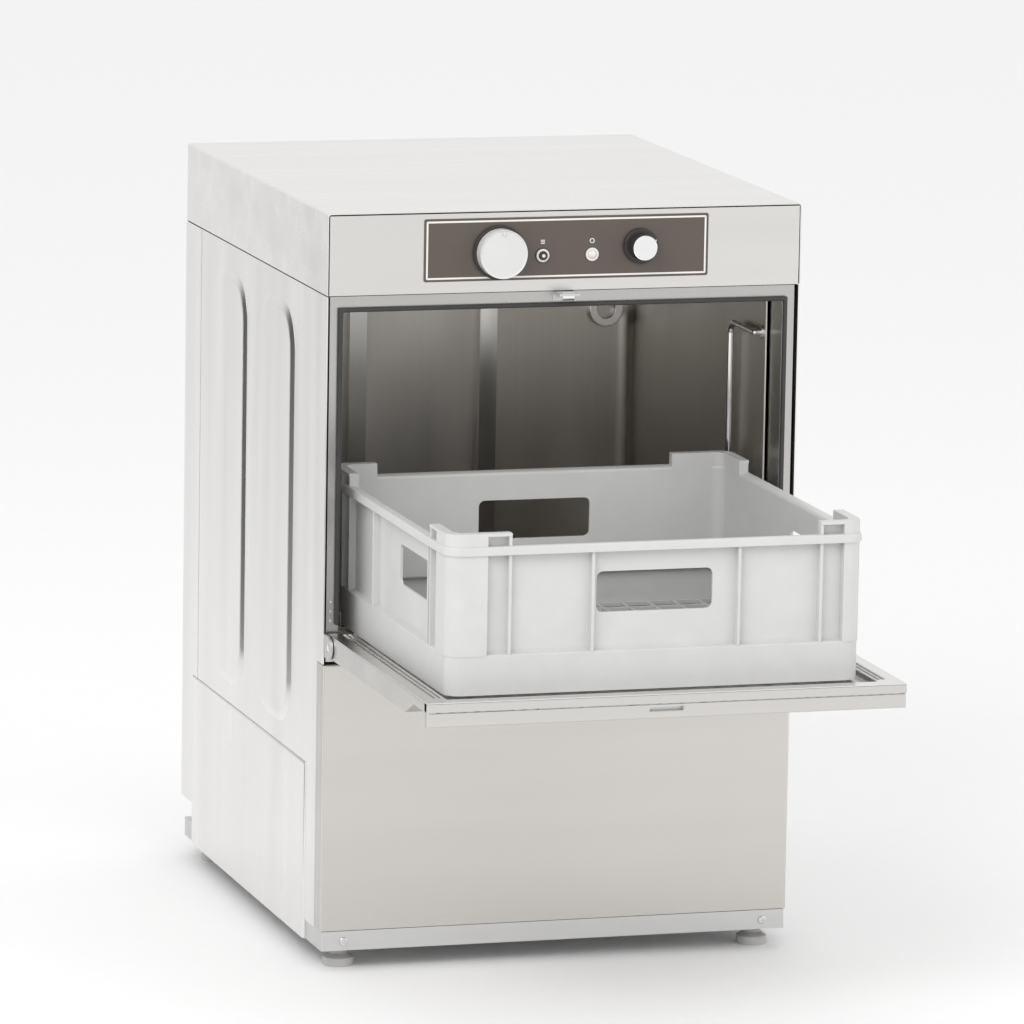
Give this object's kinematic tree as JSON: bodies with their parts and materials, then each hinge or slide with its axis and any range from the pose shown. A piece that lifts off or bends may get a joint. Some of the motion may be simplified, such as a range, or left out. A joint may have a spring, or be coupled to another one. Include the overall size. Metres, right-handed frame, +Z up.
{
  "type": "undercounter glass washer",
  "caption": "Front-loading stainless glass washer with a drop-down door, a square rack half drawn out on it, rotary spray arms, knobs and adjustable feet.",
  "frame": {"origin": "on the floor at z = 0, on the hood's middle: x = 0 is the middle of its width and y = 0 the middle of its depth", "axes": "+X to the right as seen from the front, +Y to the rear, +Z up"},
  "size_m": [0.4714, 0.915, 0.73],
  "materials": {
    "brushed_stainless": "brushed stainless sheet, grain along the width",
    "door_liner": "satin stainless sheet",
    "galvanised_sheet": "plain galvanised or stainless sheet",
    "chamber_stainless": "drawn stainless sheet, satin",
    "bright_steel": "polished steel",
    "arm_stainless": "satin stainless",
    "black_rubber": "matt black rubber",
    "dark_plate": "dark brown-grey printed film",
    "rack_plastic": "white polypropylene",
    "white_plastic": "white moulded plastic",
    "black_plastic": "black moulded plastic",
    "grey_plastic": "grey moulded plastic",
    "foot_plastic": "light grey moulded plastic",
    "lamp_lens": "pale translucent lens",
    "motor_paint": "dark grey paint",
    "foam": "pale foam"
  },
  "bodies": {
    "root": {"base_frame": "galvanised_sheet", "left_side_panel": "brushed_stainless", "right_side_panel": "brushed_stainless", "service_cover": "brushed_stainless", "front_panel": "brushed_stainless", "back_panel": "galvanised_sheet", "hood": "brushed_stainless", "fascia": "brushed_stainless", "control_plate": "dark_plate", "door_frame": "door_liner", "door_gasket": "black_rubber", "wash_chamber": "chamber_stainless", "wash_tank": "chamber_stainless", "rack_rails": "chamber_stainless", "tank_filter": "chamber_stainless", "pump_strainer": "grey_plastic", "overflow_pipe": "grey_plastic", "heating_elements": "bright_steel", "dosing_tube": "bright_steel", "port_ring": "bright_steel", "arm_hubs": "grey_plastic", "wash_riser": "chamber_stainless", "rinse_pipe": "chamber_stainless", "pump_motor": "motor_paint", "pump_volute": "grey_plastic", "hoses": "black_rubber", "boiler": "chamber_stainless", "solenoid_valve": "white_plastic", "drain_pump": "white_plastic", "detergent_pump": "white_plastic", "electrics_box": "galvanised_sheet", "pressure_switch": "white_plastic", "cable_gland": "black_plastic", "hinge_brackets": "galvanised_sheet", "latch_housing": "galvanised_sheet", "rotary_switches": "black_plastic", "button_switch": "black_plastic", "pilot_lamp": "lamp_lens", "panel_screws": "bright_steel"},
    "door": {"door_outer_skin": "brushed_stainless", "door_inner_skin": "door_liner", "door_insulation": "foam", "door_hinge_blocks": "motor_paint", "latch_strike": "galvanised_sheet"},
    "door_pins": {"hinge_pins": "bright_steel"},
    "rack": {"glass_rack": "rack_plastic", "rack_grid": "rack_plastic"},
    "lower_wash": {"lower_wash_arm": "arm_stainless"},
    "lower_rinse": {"lower_rinse_arm": "arm_stainless"},
    "upper_wash": {"upper_wash_arm": "arm_stainless"},
    "upper_rinse": {"upper_rinse_arm": "arm_stainless"},
    "timer": {"timer_knob": "white_plastic"},
    "selector": {"selector_knob": "black_plastic"},
    "button": {"start_button": "bright_steel"},
    "impeller": {"pump_impeller": "white_plastic"},
    "latch": {"latch_tongue": "bright_steel"},
    "foot_fl": {"foot_front_left": "foot_plastic"},
    "foot_fr": {"foot_front_right": "foot_plastic"},
    "foot_rl": {"foot_rear_left": "foot_plastic"},
    "foot_rr": {"foot_rear_right": "foot_plastic"}
  },
  "joints": [
    {"name": "door_hinge", "type": "hinge", "parent": "root", "child": "door", "pos_m": [0, -0.282, 0.317], "axis": [-1, 0, 0], "range_deg": [0, 90]},
    {"name": "pin_turn", "type": "hinge", "parent": "root", "child": "door_pins", "pos_m": [0, -0.282, 0.317], "axis": [-1, 0, 0], "range_deg": [0, 180]},
    {"name": "rack_travel", "type": "hinge", "parent": "door_pins", "child": "rack", "pos_m": [0, -0.4305, 0.317], "axis": [-1, 0, 0], "range_deg": [-180, 0]},
    {"name": "lower_wash_spin", "type": "hinge", "parent": "root", "child": "lower_wash", "pos_m": [0, -0.015, 0.29], "axis": [0, 0, 1], "continuous": true},
    {"name": "lower_rinse_spin", "type": "hinge", "parent": "root", "child": "lower_rinse", "pos_m": [0, -0.015, 0.306], "axis": [0, 0, 1], "continuous": true},
    {"name": "upper_wash_spin", "type": "hinge", "parent": "root", "child": "upper_wash", "pos_m": [0, -0.015, 0.674], "axis": [0, 0, 1], "continuous": true},
    {"name": "upper_rinse_spin", "type": "hinge", "parent": "root", "child": "upper_rinse", "pos_m": [0, -0.015, 0.654], "axis": [0, 0, 1], "continuous": true},
    {"name": "timer_turn", "type": "hinge", "parent": "root", "child": "timer", "pos_m": [-0.067, -0.28, 0.69], "axis": [0, 1, 0], "range_deg": [0, 300]},
    {"name": "selector_turn", "type": "hinge", "parent": "root", "child": "selector", "pos_m": [0.073, -0.28, 0.693], "axis": [0, 1, 0], "range_deg": [0, 135]},
    {"name": "start_press", "type": "slide", "parent": "root", "child": "button", "axis": [0, 1, 0], "range_m": [0, 0.003], "stiffness_N_per_m": 300},
    {"name": "impeller_spin", "type": "hinge", "parent": "root", "child": "impeller", "pos_m": [0, -0.06, 0.104], "axis": [1, 0, 0], "continuous": true},
    {"name": "latch_press", "type": "slide", "parent": "root", "child": "latch", "axis": [0, 0, 1], "range_m": [0, 0.004], "stiffness_N_per_m": 500, "springref_m": -0.002},
    {"name": "foot_fl_turn", "type": "hinge", "parent": "root", "child": "foot_fl", "pos_m": [-0.209, -0.244, 0.02], "axis": [0, 0, 1], "continuous": true},
    {"name": "foot_fr_turn", "type": "hinge", "parent": "root", "child": "foot_fr", "pos_m": [0.209, -0.244, 0.02], "axis": [0, 0, 1], "continuous": true},
    {"name": "foot_rl_turn", "type": "hinge", "parent": "root", "child": "foot_rl", "pos_m": [-0.209, 0.225, 0.02], "axis": [0, 0, 1], "continuous": true},
    {"name": "foot_rr_turn", "type": "hinge", "parent": "root", "child": "foot_rr", "pos_m": [0.209, 0.225, 0.02], "axis": [0, 0, 1], "continuous": true}
  ],
  "couplings": [
    {"joint": "pin_turn", "follows": "door_hinge", "ratio": 2},
    {"joint": "rack_travel", "follows": "door_hinge", "ratio": -2}
  ]
}
